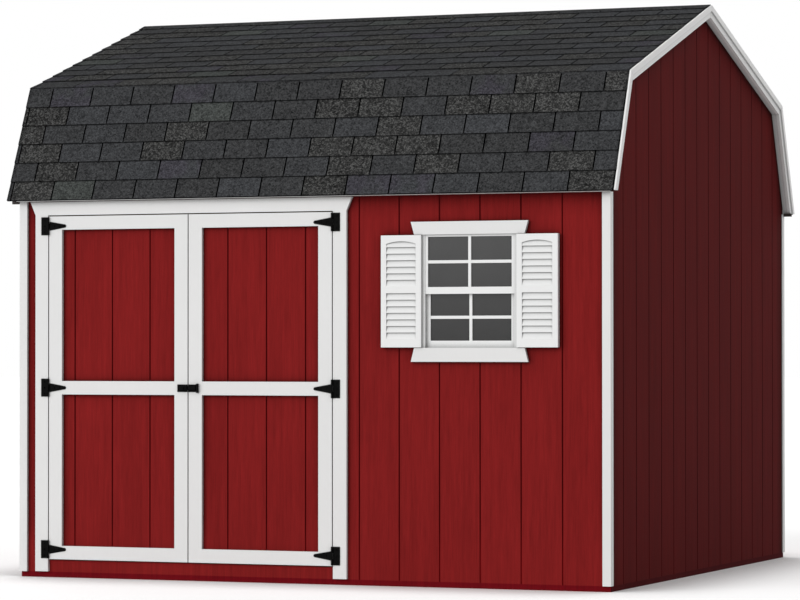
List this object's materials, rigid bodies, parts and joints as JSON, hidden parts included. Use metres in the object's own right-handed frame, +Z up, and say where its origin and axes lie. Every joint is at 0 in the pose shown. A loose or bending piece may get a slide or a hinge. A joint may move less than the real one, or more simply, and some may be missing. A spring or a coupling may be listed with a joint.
{
  "type": "gambrel barn shed",
  "caption": "Barn shed with a gambrel shingle roof, grooved siding, hinged double doors and a shuttered window on one eave wall.",
  "frame": {"origin": "ground level under the middle of the roof", "axes": "+X along the door wall to the right as seen from in front of the doors, +Y from the door wall to the back wall, +Z up"},
  "size_m": [3.143, 3.1966, 2.8508],
  "materials": {
    "siding_red": "painted, wood-grain embossed",
    "base_red": "painted",
    "trim_white": "painted",
    "framing_timber": "sawn",
    "sheet_timber": "sawn sheet",
    "dark_timber": "stained",
    "roof_shingle": "mineral granules on asphalt",
    "black_metal": "powder coated",
    "window_white": "satin",
    "window_glass": "clear",
    "shutter_white": "moulded, satin"
  },
  "bodies": {
    "shed": {"base_strips": "base_red", "door_head_trim": "trim_white", "door_jamb_trims": "trim_white", "eave_corner_boards": "trim_white", "eave_end_blocks": "dark_timber", "eave_soffits": "trim_white", "eave_wall_plates": "framing_timber", "floor_deck": "sheet_timber", "floor_joists": "framing_timber", "floor_rims": "framing_timber", "front_infill_siding": "siding_red", "front_tall_siding": "siding_red", "front_upper_rafters": "framing_timber", "front_upper_shingles": "roof_shingle", "front_wall_studs": "framing_timber", "gable_corner_boards": "trim_white", "gable_sole_plates": "framing_timber", "gable_wall_studs": "framing_timber", "jamb_hinge_leaves": "black_metal", "left_gable_siding": "siding_red", "lower_rafters": "framing_timber", "lower_roof_decks": "sheet_timber", "lower_sash": "window_white", "lower_shingles": "roof_shingle", "opening_framing": "framing_timber", "rake_boards": "trim_white", "rake_soffits": "trim_white", "rake_strips": "trim_white", "rear_siding": "siding_red", "rear_upper_rafters": "framing_timber", "rear_upper_shingles": "roof_shingle", "rear_wall_studs": "framing_timber", "right_gable_siding": "siding_red", "shutters": "shutter_white", "truss_gussets": "sheet_timber", "upper_roof_decks": "sheet_timber", "upper_sash": "window_white", "window_frame": "window_white", "window_panes": "window_glass", "window_trims": "trim_white"},
    "left_door": {"left_door_panel": "siding_red", "left_door_stiles": "trim_white", "left_door_rails": "trim_white", "left_door_ledges": "framing_timber", "left_hinge_straps": "black_metal", "left_latch_half": "black_metal"},
    "right_door": {"right_door_panel": "siding_red", "right_door_stiles": "trim_white", "right_door_rails": "trim_white", "right_door_ledges": "framing_timber", "right_hinge_straps": "black_metal", "right_latch_half": "black_metal"}
  },
  "joints": [
    {"name": "left_door_hinge", "type": "hinge", "parent": "shed", "child": "left_door", "pos_m": [-1.36775, -1.5485, 0.93375], "axis": [0, 0, -1], "range_deg": [0, 160]},
    {"name": "right_door_hinge", "type": "hinge", "parent": "shed", "child": "right_door", "pos_m": [0.14225, -1.5485, 0.93375], "axis": [0, 0, 1], "range_deg": [0, 160]}
  ]
}
